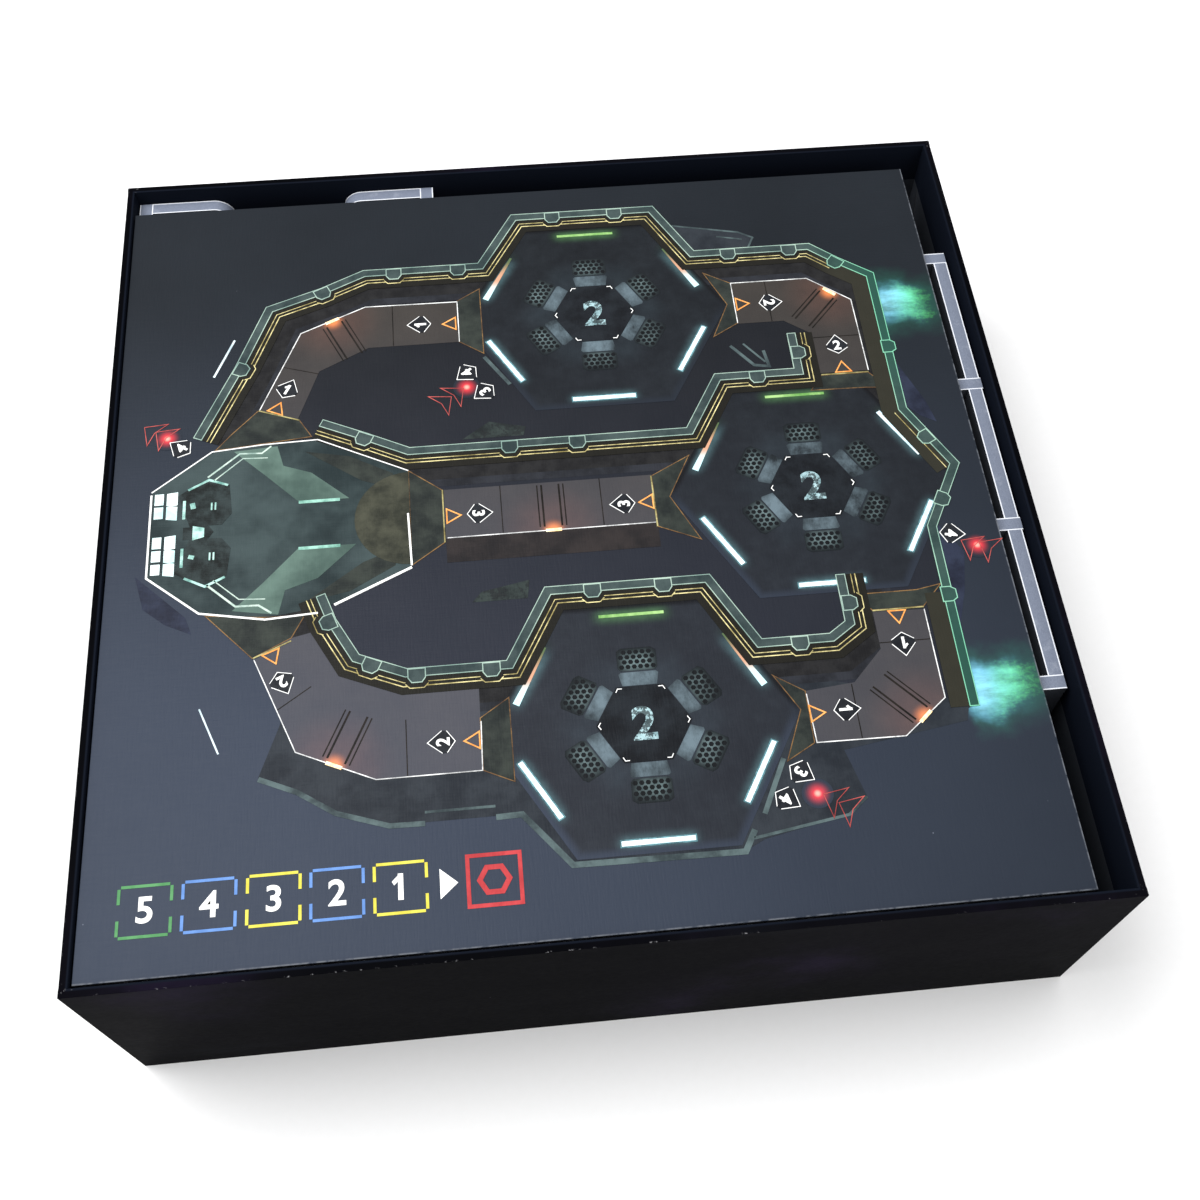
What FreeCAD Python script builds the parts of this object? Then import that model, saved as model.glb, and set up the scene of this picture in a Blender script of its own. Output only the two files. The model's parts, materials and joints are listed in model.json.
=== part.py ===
"""Open base of a square board game box, with a folded game board and a foam-core organiser.

Millimetres.  X runs to the right, Y to the back, Z up.  The origin is the middle of the
box's underside.
"""
import FreeCAD
import Part
import math
import os

V = FreeCAD.Vector

# ---- the box -----------------------------------------------------------------------------
box_length = 296.0              # outside, along X
box_width = 296.0               # outside, along Y
box_height = 83.0               # underside to rim
greyboard = 2.0                 # the stiff board of the base and the walls
wrap_paper = 0.25               # printed wrap with its glue
liner_paper = 0.25              # black paper inside, and the turned-in edge of the wrap
turn_in = 16.0                  # how far the wrap reaches down inside the rim
tape_thickness = 0.12           # corner stay tape, pressed into the back of the wrap
tape_leg = 18.0                 # how far the tape reaches along each wall

# ---- the folded game board ---------------------------------------------------------------
leaf_core = 1.8                 # greyboard of one leaf
face_sheet = 0.15               # printed sheet on the outside of a leaf
inner_sheet = 0.15              # sheet on the faces that meet when it is folded
cloth_width = 14.0              # hinge cloth on each leaf, measured from the fold
board_below_rim = 1.3
board_gap_left = 0.5            # from the board to the liner, on each side
board_gap_right = 10.5
board_gap_front = 1.0
board_gap_back = 10.0
fold_clearance = 0.1            # from a leaf's edge to the line it turns about

# ---- the organiser -----------------------------------------------------------------------
foam = 4.75                     # three-sixteenth-inch foam core
wall_clearance = 0.5            # between a tray and the liner
tray_clearance = 1.0            # between two trays

notched_tray_length = 106.5     # back-left tray, along X
notched_tray_width = 94.0       # along Y
notch_width = 40.0
notch_depth = 38.0
notch_shoulder = 7.0            # radius of the notch's upper corners

right_tray_clearance = 1.5      # from the right tray to the liner
right_tray_length = 62.0        # along X
right_tray_width = 177.0        # along Y
right_tray_cross_walls = 2
tab_overhang = 0.4              # how far a cross-wall's tab stands out of the long wall
back_well = 48.8                # open space behind the middle and right trays

middle_tray_width = 118.0       # along Y
token_tray_right_inset = 12.0   # from the token tray to the liner, so that fingers reach it

# ---- levels and faces worked out from the sizes above -------------------------------------
half_x = box_length / 2
half_y = box_width / 2
board_x = half_x - wrap_paper   # outer faces of the greyboard
board_y = half_y - wrap_paper
wall_x = board_x - greyboard    # inner faces of the greyboard
wall_y = board_y - greyboard
room_x = wall_x - liner_paper   # inner faces of the liner
room_y = wall_y - liner_paper

base_bottom = wrap_paper
base_top = base_bottom + greyboard
floor_top = base_top + liner_paper
wall_top = box_height - wrap_paper

leaf = leaf_core + face_sheet + inner_sheet
board_top = box_height - board_below_rim
fold_level = board_top - leaf
tray_top = fold_level - leaf
board_left = -room_x + board_gap_left
board_right = room_x - board_gap_right
board_front = -room_y + board_gap_front
board_back = room_y - board_gap_back


# ---- helpers -----------------------------------------------------------------------------
def block(x0, x1, y0, y1, z0, z1):
    """A box between two opposite corners."""
    return Part.makeBox(x1 - x0, y1 - y0, z1 - z0, V(x0, y0, z0))


def save(name, shape):
    """Write one node, after checking that it is sound."""
    shape = shape.removeSplitter()
    if not shape.isValid() or shape.Volume <= 0:
        raise ValueError("bad solid: " + name)
    shape.exportStep("parts/" + name + ".step")


def ring(outer_x, outer_y, inner_x, inner_y, z0, z1):
    """A rectangular ring about the box's middle."""
    outer = block(-outer_x, outer_x, -outer_y, outer_y, z0, z1)
    return outer.cut(block(-inner_x, inner_x, -inner_y, inner_y, z0, z1))


# ---- greyboard blank: base panel, walls and corner tapes ----------------------------------
def greyboard_panels():
    """The base and the four walls that stand on it; front and back run the full length."""
    z0, z1 = base_top, wall_top
    return {
        "base_panel": block(-board_x, board_x, -board_y, board_y, base_bottom, base_top),
        "front_wall": block(-board_x, board_x, -board_y, -wall_y, z0, z1),
        "back_wall": block(-board_x, board_x, wall_y, board_y, z0, z1),
        "left_wall": block(-board_x, -wall_x, -wall_y, wall_y, z0, z1),
        "right_wall": block(wall_x, board_x, -wall_y, wall_y, z0, z1),
    }


def corner_tapes():
    """One folded strip of tape around the outside of each upright corner."""
    outer_x = board_x + tape_thickness
    outer_y = board_y + tape_thickness
    band = ring(outer_x, outer_y, board_x, board_y, base_bottom, wall_top)
    corners = []
    for side_x in (-1, 1):
        for side_y in (-1, 1):
            middle = V(side_x * board_x, side_y * board_y, 0)
            window = block(-tape_leg, tape_leg, -tape_leg, tape_leg, base_bottom, wall_top)
            window.translate(middle)
            corners.append(band.common(window))
    return Part.makeCompound(corners)


# ---- printed wrap -------------------------------------------------------------------------
def wrap_panels(tapes):
    """Bottom sheet, and a flap over each wall: outside, rim and turned-in edge."""
    outside = ring(half_x, half_y, board_x, board_y, base_bottom, wall_top)
    rim = ring(half_x, half_y, room_x, room_y, wall_top, box_height)
    turned_in = ring(wall_x, wall_y, room_x, room_y, wall_top - turn_in, wall_top)
    sleeve = outside.fuse([rim, turned_in]).removeSplitter().cut(tapes)
    z0, z1 = base_bottom, box_height
    front = block(-half_x, half_x, -half_y, -room_y, z0, z1)
    back = block(-half_x, half_x, room_y, half_y, z0, z1)
    left = block(-half_x, -room_x, -room_y, room_y, z0, z1)
    right = block(room_x, half_x, -room_y, room_y, z0, z1)
    return {
        "bottom_wrap": block(-half_x, half_x, -half_y, half_y, 0, base_bottom),
        "front_wrap": sleeve.common(front),
        "back_wrap": sleeve.common(back),
        "left_wrap": sleeve.common(left),
        "right_wrap": sleeve.common(right),
    }


def inner_liner():
    """Black paper over the floor and up the walls, as far as the wrap's turned-in edge."""
    floor = block(-wall_x, wall_x, -wall_y, wall_y, base_top, floor_top)
    walls = ring(wall_x, wall_y, room_x, room_y, floor_top, wall_top - turn_in)
    return floor.fuse(walls)


# ---- folded game board --------------------------------------------------------------------
def leaf_pieces(name, fold_side, outward):
    """Core, outer sheet, inner sheet and cloth of one leaf; outward is +1 above the fold."""
    inner = fold_level
    core_inner = inner + outward * inner_sheet
    core_outer = core_inner + outward * leaf_core
    outer = core_outer + outward * face_sheet
    cloth_edge = fold_side - cloth_width

    def layer(x0, x1, za, zb):
        return block(x0, x1, board_front, board_back, min(za, zb), max(za, zb))

    return {
        name + "_core": layer(board_left, fold_side, core_inner, core_outer),
        name + "_face": layer(board_left, fold_side, core_outer, outer),
        name + "_inner_sheet": layer(board_left, cloth_edge, inner, core_inner),
        name + "_hinge_cloth": layer(cloth_edge, fold_side, inner, core_inner),
    }


# ---- foam-core trays ----------------------------------------------------------------------
def tray(name, x0, x1, y0, y1, ends_run_through):
    """Base with four walls on it.  Either the X ends or the Y ends run the full length."""
    z0 = floor_top + foam
    pieces = {name + "_base": block(x0, x1, y0, y1, floor_top, z0)}
    inset_x = foam if ends_run_through == "x" else 0
    inset_y = foam if ends_run_through == "y" else 0
    pieces[name + "_left"] = block(x0, x0 + foam, y0 + inset_y, y1 - inset_y, z0, tray_top)
    pieces[name + "_right"] = block(x1 - foam, x1, y0 + inset_y, y1 - inset_y, z0, tray_top)
    pieces[name + "_front"] = block(x0 + inset_x, x1 - inset_x, y0, y0 + foam, z0, tray_top)
    pieces[name + "_back"] = block(x0 + inset_x, x1 - inset_x, y1 - foam, y1, z0, tray_top)
    return pieces


def divider_along_x(x0, x1, y0, y1):
    """A wall across the middle of a tray's depth, from its left wall to its right one."""
    middle = (y0 + y1) / 2
    z0 = floor_top + foam
    return block(x0 + foam, x1 - foam, middle - foam / 2, middle + foam / 2, z0, tray_top)


def divider_along_y(x0, x1, y0, y1):
    """A wall across the middle of a tray's length, from its front wall to its back one."""
    middle = (x0 + x1) / 2
    z0 = floor_top + foam
    return block(middle - foam / 2, middle + foam / 2, y0 + foam, y1 - foam, z0, tray_top)


def finger_notch(middle_x, y0, y1):
    """U-shaped cutter with a round foot and round shoulders, open at the top."""
    half = notch_width / 2
    foot = tray_top - notch_depth + half
    wide = half + notch_shoulder
    shoulder_z = tray_top - notch_shoulder
    diagonal = notch_shoulder * math.sqrt(0.5)

    def at(x, z):
        return V(middle_x + x, y0, z)

    edges = [
        Part.LineSegment(at(-wide, tray_top), at(wide, tray_top)),
        Part.Arc(at(wide, tray_top), at(wide - diagonal, shoulder_z + diagonal), at(half, shoulder_z)),
        Part.LineSegment(at(half, shoulder_z), at(half, foot)),
        Part.Arc(at(half, foot), at(0, foot - half), at(-half, foot)),
        Part.LineSegment(at(-half, foot), at(-half, shoulder_z)),
        Part.Arc(at(-half, shoulder_z), at(diagonal - wide, shoulder_z + diagonal), at(-wide, tray_top)),
    ]
    outline = Part.Wire([edge.toShape() for edge in edges])
    return Part.Face(outline).extrude(V(0, y1 - y0, 0))


def notched_tray(x0, x1, y0, y1):
    """Back-left tray: its end walls run through, and its back wall has the finger notch."""
    pieces = tray("notched_tray", x0, x1, y0, y1, "x")
    cutter = finger_notch((x0 + x1) / 2, y1 - foam, y1)
    pieces["notched_tray_back"] = pieces["notched_tray_back"].cut(cutter)
    return pieces


def right_tray(x0, x1, y0, y1):
    """Right tray: cross-walls drop into slots in the long walls and stand a little proud."""
    pieces = tray("right_tray", x0, x1, y0, y1, "y")
    z0 = floor_top + foam
    slot_foot = (z0 + tray_top) / 2
    cells = right_tray_cross_walls + 1
    cell = (y1 - y0 - foam * (cells + 1)) / cells
    for number in range(right_tray_cross_walls):
        front = y0 + (number + 1) * (foam + cell)
        slot = block(x0, x1, front, front + foam, slot_foot, tray_top)
        for side in ("right_tray_left", "right_tray_right"):
            pieces[side] = pieces[side].cut(slot)
        panel = block(x0 + foam, x1 - foam, front, front + foam, z0, tray_top)
        tabs = block(x0 - tab_overhang, x1 + tab_overhang, front, front + foam, slot_foot, tray_top)
        pieces["right_tray_cross_wall_" + str(number + 1)] = panel.fuse(tabs)
    return pieces


def organiser():
    """Every tray: a left column, a middle column and the right tray with its neighbour."""
    left = -room_x + wall_clearance
    front = -room_y + wall_clearance
    back = room_y - wall_clearance
    left_column_right = left + notched_tray_length
    notched_front = back - notched_tray_width
    right = room_x - right_tray_clearance
    right_column_left = right - right_tray_length
    well_front = room_y - back_well
    right_tray_front = well_front - right_tray_width
    middle_left = left_column_right + tray_clearance
    middle_right = right_column_left - tray_clearance
    middle_front = well_front - middle_tray_width

    pieces = notched_tray(left, left_column_right, notched_front, back)
    pieces.update(right_tray(right_column_left, right, right_tray_front, well_front))

    span = (left, left_column_right, front, notched_front - tray_clearance)
    pieces.update(tray("front_left_tray", *span, "x"))
    pieces["front_left_tray_divider"] = divider_along_x(*span)

    span = (middle_left, middle_right, middle_front, well_front)
    pieces.update(tray("middle_tray", *span, "x"))
    pieces["middle_tray_divider"] = divider_along_y(*span)

    span = (middle_left, middle_right, front, middle_front - tray_clearance)
    pieces.update(tray("front_tray", *span, "x"))

    token_right = room_x - token_tray_right_inset
    span = (right_column_left, token_right, front, right_tray_front - tray_clearance)
    pieces.update(tray("token_tray", *span, "x"))
    return pieces


# ---- build everything ---------------------------------------------------------------------
def main():
    os.makedirs("parts", exist_ok=True)
    tapes = corner_tapes()
    pieces = greyboard_panels()
    pieces["corner_tapes"] = tapes
    pieces.update(wrap_panels(tapes))
    pieces["inner_liner"] = inner_liner()
    pieces.update(leaf_pieces("lower_leaf", board_right, -1))
    pieces.update(leaf_pieces("upper_leaf", board_right, 1))
    pieces.update(organiser())
    for name, shape in pieces.items():
        save(name, shape)
    print(len(pieces), "nodes; fold axis at x", board_right + fold_clearance, "z", fold_level)


main()
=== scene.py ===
"""Board game box: an open square box with a folded game board over a foam-core organiser.

Metres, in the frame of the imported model: X to the right, Y to the back, Z up, with the
origin at the middle of the box's underside.
"""
import json
import math

import bpy
from mathutils import Euler, Matrix, Vector

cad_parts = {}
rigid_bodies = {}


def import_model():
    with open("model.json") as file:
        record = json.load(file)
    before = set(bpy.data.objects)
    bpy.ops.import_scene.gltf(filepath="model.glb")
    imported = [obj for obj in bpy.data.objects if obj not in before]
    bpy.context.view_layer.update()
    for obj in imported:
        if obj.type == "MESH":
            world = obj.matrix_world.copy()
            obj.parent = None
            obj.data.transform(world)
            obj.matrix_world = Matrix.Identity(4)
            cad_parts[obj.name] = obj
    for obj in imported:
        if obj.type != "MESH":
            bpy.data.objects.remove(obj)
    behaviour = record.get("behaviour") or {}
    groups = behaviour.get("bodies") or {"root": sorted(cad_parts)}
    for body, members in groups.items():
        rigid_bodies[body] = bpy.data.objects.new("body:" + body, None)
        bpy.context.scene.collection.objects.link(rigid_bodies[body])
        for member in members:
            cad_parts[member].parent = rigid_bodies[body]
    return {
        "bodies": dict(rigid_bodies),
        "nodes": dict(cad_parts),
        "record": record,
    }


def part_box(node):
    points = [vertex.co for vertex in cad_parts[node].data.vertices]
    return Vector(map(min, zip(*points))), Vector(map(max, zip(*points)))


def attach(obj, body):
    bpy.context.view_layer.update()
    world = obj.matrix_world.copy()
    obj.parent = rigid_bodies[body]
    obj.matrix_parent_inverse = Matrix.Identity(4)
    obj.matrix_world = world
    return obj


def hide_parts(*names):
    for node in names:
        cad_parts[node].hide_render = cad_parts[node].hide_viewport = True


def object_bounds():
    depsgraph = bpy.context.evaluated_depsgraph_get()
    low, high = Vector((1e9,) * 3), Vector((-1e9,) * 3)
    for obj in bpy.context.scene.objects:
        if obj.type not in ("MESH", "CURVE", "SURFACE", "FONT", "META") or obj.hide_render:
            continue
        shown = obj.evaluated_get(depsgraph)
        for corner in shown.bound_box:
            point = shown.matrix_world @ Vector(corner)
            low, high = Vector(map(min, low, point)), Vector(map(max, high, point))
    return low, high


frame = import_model()
cad_low, cad_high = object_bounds()
nodes = frame["nodes"]
mm = 0.001


# ---- table, camera and light ---------------------------------------------------------------
# The box stands on a pale table under a large soft lamp overhead and the light of a white
# room.  The camera is close, above the front edge and a little to the left.
def select_only(*objects):
    """Deselects everything else and makes the first of these the active object."""
    bpy.ops.object.select_all(action="DESELECT")
    for each in objects:
        each.select_set(True)
    bpy.context.view_layer.objects.active = objects[0]


def point_lamp(name, place, target, size, power):
    """A square soft lamp that faces a point."""
    bpy.ops.object.light_add(type="AREA", location=place)
    lamp = bpy.context.object
    lamp.name = name
    lamp.rotation_euler = (Vector(target) - Vector(place)).to_track_quat("-Z", "Y").to_euler()
    lamp.data.size = size
    lamp.data.energy = power


camera_place = (-0.0172, -0.2556, 0.4529)
camera_turn = math.radians(-7.447)      # from looking straight to the back
camera_tilt = math.radians(61.654)      # below the horizon
camera_roll = math.radians(1.909)
focal_length = 41.96
frame_shift = (-0.0122, 0.0418)
room_brightness = 0.95
table_size = 30

bpy.ops.object.camera_add(location=camera_place)
camera = bpy.context.object
look = Euler((math.pi / 2 - camera_tilt, 0, camera_turn)).to_matrix()
camera.rotation_euler = (look @ Matrix.Rotation(camera_roll, 3, "Z")).to_euler()
camera.data.lens = focal_length
camera.data.sensor_width = 36
camera.data.shift_x, camera.data.shift_y = frame_shift
bpy.context.scene.camera = camera
bpy.context.scene.view_settings.view_transform = "Standard"

box_middle = (0, 0, cad_high.z / 2)
point_lamp("overhead_lamp", (-0.46, 0.16, 1.05), box_middle, size=0.75, power=14)
point_lamp("front_lamp", (0.6, -1.0, 0.9), box_middle, size=0.9, power=4)

room = bpy.data.worlds.new("room")
room.use_nodes = True
room.node_tree.nodes["Background"].inputs["Color"].default_value = (1.0, 1.0, 1.0, 1)
room.node_tree.nodes["Background"].inputs["Strength"].default_value = room_brightness
bpy.context.scene.world = room

bpy.ops.mesh.primitive_plane_add(size=table_size)
table = bpy.context.object
table.name = "table"


# ---- greyboard shell and its corner tapes --------------------------------------------------
# The stiff part of the box: one blank of grey recycled board, scored and folded up, with a strip
# of brown gummed paper tape over each upright corner.  The wrap hides nearly all of it.
class Wire:
    """An output of a shader node that can be used in Python arithmetic."""

    def __init__(self, finish, socket):
        self.finish = finish
        self.socket = socket

    def maths(self, operation, *values):
        inputs = dict(enumerate(values))
        return self.finish.add("ShaderNodeMath", {"operation": operation}, inputs)

    def __add__(self, other):
        return self.maths("ADD", self, other)

    def __radd__(self, other):
        return self.maths("ADD", other, self)

    def __sub__(self, other):
        return self.maths("SUBTRACT", self, other)

    def __rsub__(self, other):
        return self.maths("SUBTRACT", other, self)

    def __mul__(self, other):
        return self.maths("MULTIPLY", self, other)

    def __rmul__(self, other):
        return self.maths("MULTIPLY", other, self)

    def __truediv__(self, other):
        return self.maths("DIVIDE", self, other)

    def __pow__(self, other):
        return self.maths("POWER", self, other)

    def sine(self):
        return self.maths("SINE", self)

    def size(self):
        return self.maths("ABSOLUTE", self)

    def least(self, other):
        return self.maths("MINIMUM", self, other)

    def most(self, other):
        return self.maths("MAXIMUM", self, other)

    def fade(self, start, end):
        """0 at start and 1 at end, held outside them; start may be the larger."""
        settings = {"interpolation_type": "SMOOTHSTEP"}
        inputs = {"Value": self, "From Min": start, "From Max": end}
        return self.finish.add("ShaderNodeMapRange", settings, inputs)


class Finish:
    """A procedural material on one Principled shader."""

    def __init__(self, name):
        self.material = bpy.data.materials.new(name)
        self.material.use_nodes = True
        self.tree = self.material.node_tree
        self.shader = self.tree.nodes["Principled BSDF"]

    def add(self, kind, settings=None, inputs=None, output=0):
        """Adds a node with its settings and inputs, and gives one of its outputs."""
        node = self.tree.nodes.new(kind)
        for key, value in (settings or {}).items():
            setattr(node, key, value)
        for key, value in (inputs or {}).items():
            self.put(node.inputs[key], value)
        return Wire(self, node.outputs[output])

    def put(self, socket, value):
        """Links a wire to a socket, or sets the socket to a plain value."""
        if isinstance(value, Wire):
            self.tree.links.new(value.socket, socket)
        elif hasattr(value, "__len__") and socket.type == "RGBA":
            socket.default_value = (*value[:3], 1)
        else:
            socket.default_value = value

    def place(self, stretch=(1, 1, 1)):
        """Object coordinates in metres, stretched along each axis."""
        where = self.add("ShaderNodeTexCoord", output="Object")
        return self.add("ShaderNodeMapping", inputs={"Vector": where, "Scale": stretch})

    def axes(self):
        """X, Y and Z in millimetres."""
        split = self.add("ShaderNodeSeparateXYZ", inputs={"Vector": self.place((1000, 1000, 1000))})
        outputs = split.socket.node.outputs
        return [Wire(self, outputs[i]) for i in range(3)]

    def noise(self, grain, detail=3, rough=0.55, stretch=(1, 1, 1)):
        """Cloudy values about 0.5; grain is the size of a cloud in metres."""
        inputs = {"Vector": self.place(stretch), "Scale": 1 / grain, "Detail": detail}
        inputs["Roughness"] = rough
        return self.add("ShaderNodeTexNoise", inputs=inputs)

    def specks(self, spacing, radius, stretch=(1, 1, 1)):
        """1 within radius, as a share of the spacing, of points strewn at that spacing."""
        inputs = {"Vector": self.place(stretch), "Scale": 1 / spacing}
        distance = self.add("ShaderNodeTexVoronoi", inputs=inputs)
        return distance.fade(radius, radius * 0.5)

    def blend(self, first, second, share):
        """A colour between two colours."""
        inputs = {0: share, 6: first, 7: second}
        return self.add("ShaderNodeMix", {"data_type": "RGBA"}, inputs, output=2)

    def glow(self, first, second, share=1.0):
        """One colour added to another as light is."""
        settings = {"data_type": "RGBA", "blend_type": "ADD"}
        return self.add("ShaderNodeMix", settings, {0: share, 6: first, 7: second}, output=2)

    def bump(self, height, depth, below=None):
        """A surface raised by height, 0 to 1, times depth in metres."""
        inputs = {"Height": height, "Strength": 1.0, "Distance": depth}
        if below is not None:
            inputs["Normal"] = below
        return self.add("ShaderNodeBump", inputs=inputs)

    def done(self, colour, roughness, normal=None, specular=0.5):
        """Joins the values to the shader and gives the finished material."""
        self.put(self.shader.inputs["Base Color"], colour)
        self.put(self.shader.inputs["Roughness"], roughness)
        self.put(self.shader.inputs["Specular IOR Level"], specular)
        if normal is not None:
            self.put(self.shader.inputs["Normal"], normal)
        return self.material


def recycled_board():
    """Grey board with darker and lighter fibres pressed into it."""
    finish = Finish("recycled_board")
    fibres = finish.noise(0.0009, 5, 0.7)
    flecks = finish.noise(0.00025, 2, 0.5).fade(0.60, 0.72)
    base = finish.blend((0.20, 0.185, 0.165), (0.36, 0.34, 0.31), fibres)
    base = finish.blend(base, (0.08, 0.07, 0.06), flecks)
    return finish.done(base, 0.92, finish.bump(fibres, 0.00006))


def gummed_tape():
    """Brown paper tape with fine fibres along it."""
    finish = Finish("gummed_tape")
    fibres = finish.noise(0.0012, 4, 0.6, (1, 1, 0.15))
    return finish.done(finish.blend((0.30, 0.19, 0.10), (0.44, 0.31, 0.19), fibres), 0.6)


def paint(node, material):
    """Gives a carried-over node one material."""
    nodes[node].data.materials.clear()
    nodes[node].data.materials.append(material)


def table_paper():
    """The sheet of pale paper on the table that the box stands on."""
    finish = Finish("table_paper")
    fibres = finish.noise(0.003, 4, 0.6)
    base = finish.blend((0.79, 0.79, 0.79), (0.82, 0.82, 0.825), fibres)
    return finish.done(base, 0.8, finish.bump(fibres, 0.00003), specular=0.3)


table.data.materials.append(table_paper())
board_material = recycled_board()
for panel in ("base_panel", "front_wall", "back_wall", "left_wall", "right_wall"):
    paint(panel, board_material)
paint("corner_tapes", gummed_tape())


# ---- printed wrap --------------------------------------------------------------------------
# Dark printed paper with a satin film: a bottom sheet and one flap over each wall, glued down,
# turned over the rim and a short way down inside.  Folds are slightly rounded; the rim and the
# upright corners are painted pale, partly as rubbed wear and partly as a painted highlight, and
# the inside faces are painted lighter as a painted fill of light.
fold_radius = 0.4 * mm
merge_distance = 0.002 * mm


def copy_of_node(node, name):
    """A new object with its own clean copy of a node's mesh."""
    piece = bpy.data.objects.new(name, nodes[node].data.copy())
    bpy.context.scene.collection.objects.link(piece)
    select_only(piece)
    bpy.ops.object.mode_set(mode="EDIT")
    bpy.ops.mesh.select_all(action="SELECT")
    bpy.ops.mesh.remove_doubles(threshold=merge_distance)
    bpy.ops.mesh.dissolve_limited(angle_limit=math.radians(0.5))
    bpy.ops.object.mode_set(mode="OBJECT")
    if piece.data.has_custom_normals:
        bpy.ops.mesh.customdata_custom_splitnormals_clear()
    bpy.ops.object.shade_flat()
    piece.data.materials.clear()
    return piece


def cut_through(piece, place, normal):
    """Divides every face where a plane crosses it."""
    select_only(piece)
    bpy.ops.object.mode_set(mode="EDIT")
    bpy.ops.mesh.select_all(action="SELECT")
    bpy.ops.mesh.bisect(plane_co=place, plane_no=normal)
    bpy.ops.object.mode_set(mode="OBJECT")


def divide_at_corners(piece, axis):
    """Divides a piece wherever it has a corner along an axis, so that no face has a notch."""
    places = sorted({round(corner.co[axis], 5) for corner in piece.data.vertices})
    normal = [0, 0, 0]
    normal[axis] = 1
    for distance in places[1:-1]:
        cut_through(piece, [part * distance for part in normal], normal)


def round_edges(piece, width, wanted, segments=3):
    """Rounds the edges for which wanted(the edge's two ends) is true; the rest stays flat."""
    select_only(piece)
    weights = piece.data.attributes.get("bevel_weight_edge")
    if weights is None:
        weights = piece.data.attributes.new("bevel_weight_edge", "FLOAT", "EDGE")
    for edge in piece.data.edges:
        ends = [piece.data.vertices[i].co for i in edge.vertices]
        weights.data[edge.index].value = 1.0 if wanted(*ends) else 0.0
    bevel = piece.modifiers.new("rounding", "BEVEL")
    bevel.width = width
    bevel.segments = segments
    bevel.limit_method = "WEIGHT"
    bpy.ops.object.modifier_apply(modifier=bevel.name)
    for face in piece.data.polygons:
        face.use_smooth = max(abs(part) for part in face.normal) < 0.999


def printed_wrap():
    """Near-black film-coated paper with faint violet clouds and thin streaks; its folds are painted pale,
    partly as rubbed wear and partly as a painted highlight, and its inside faces are painted lighter, a
    painted fill of light.
    """
    finish = Finish("printed_wrap")
    x, y, z = finish.axes()
    clouds = finish.noise(0.075, 6, 0.62, (1, 1, 1.3)).fade(0.50, 0.78)
    haze = finish.noise(0.16, 3, 0.5).fade(0.45, 0.70)
    streaks = finish.noise(0.012, 4, 0.6, (0.14, 0.14, 1)).fade(0.60, 0.80)
    stars = finish.specks(0.011, 0.016)
    base = finish.blend((0.0016, 0.0017, 0.0024), (0.0030, 0.0029, 0.0044), haze)
    base = finish.blend(base, (0.016, 0.011, 0.029), clouds * haze * 0.7)
    base = finish.blend(base, (0.009, 0.010, 0.013), streaks * 0.30)
    base = finish.blend(base, (0.20, 0.20, 0.26), stars * 0.5)
    half = cad_high.x / mm
    # The inside faces are painted lighter: a painted fill of light in the box's shaded inside.
    inside = x.size().most(y.size()).fade(half - 1.6, half - 2.1)
    base = finish.blend(base, (0.0052, 0.0069, 0.0118), inside)
    # A pale line along the rim and the upright corners: partly rubbed wear, partly a painted highlight on
    # the folds.
    rim = z.fade(cad_high.z / mm - 0.45, cad_high.z / mm)
    outside = x.size().most(y.size()).fade(half - 0.5, half - 0.1)
    corner = x.size().least(y.size()).fade(half - 5.0, half - 0.4)
    rubbed = finish.noise(0.0016, 4, 0.75).fade(0.60, 0.68)
    fold_wear_and_highlight = rubbed * (rim * outside * 0.35 + rim * corner * 0.8).least(1.0)
    base = finish.blend(base, (0.42, 0.42, 0.44), fold_wear_and_highlight)
    film = finish.noise(0.0016, 2, 0.5)
    wave = finish.noise(0.05, 2, 0.4)
    grain = finish.bump(film, 0.00002)
    normal = finish.bump(wave, 0.0007, grain)
    return finish.done(base, 0.34 + film * 0.12, normal, specular=0.002)


wrap_material = printed_wrap()
cad_edge = 0.01 * mm


def on_box_edge(a, b):
    """True on the box's upright corners and along the outer and inner edges of the rim."""
    outer = cad_high.x - cad_edge
    upright = min(abs(a.x), abs(b.x), abs(a.y), abs(b.y)) > outer
    along_rim = (a - b).length > 10 * mm or min(abs(a.y), abs(b.y)) > outer
    return upright or (along_rim and min(a.z, b.z) > cad_high.z - cad_edge)


for side in ("front", "back", "left", "right"):
    flap = copy_of_node(side + "_wrap", side + "_wrap_folded")
    divide_at_corners(flap, 0 if side in ("front", "back") else 2)
    round_edges(flap, fold_radius, on_box_edge)
    flap.data.materials.append(wrap_material)
    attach(flap, "box")
    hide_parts(side + "_wrap")
paint("bottom_wrap", wrap_material)


# ---- inner liner ---------------------------------------------------------------------------
# Uncoated black paper glued over the floor and up the walls as far as the wrap's turned-in edge,
# with a slack slanting crease on the side walls where the back corners were tucked.
def black_paper(name, tone):
    """Matte black paper: short fibres, a little dust and a faint mottle."""
    finish = Finish(name)
    fibres = finish.noise(0.0007, 5, 0.65)
    dust = finish.specks(0.005, 0.035) * 0.35
    dark = (0.6 * tone, 0.7 * tone, 0.9 * tone)
    light = (1.3 * tone, 1.5 * tone, 1.9 * tone)
    base = finish.blend(dark, light, fibres)
    base = finish.blend(base, (0.12, 0.12, 0.13), dust)
    return finish, base, finish.bump(fibres, 0.00005)


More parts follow.
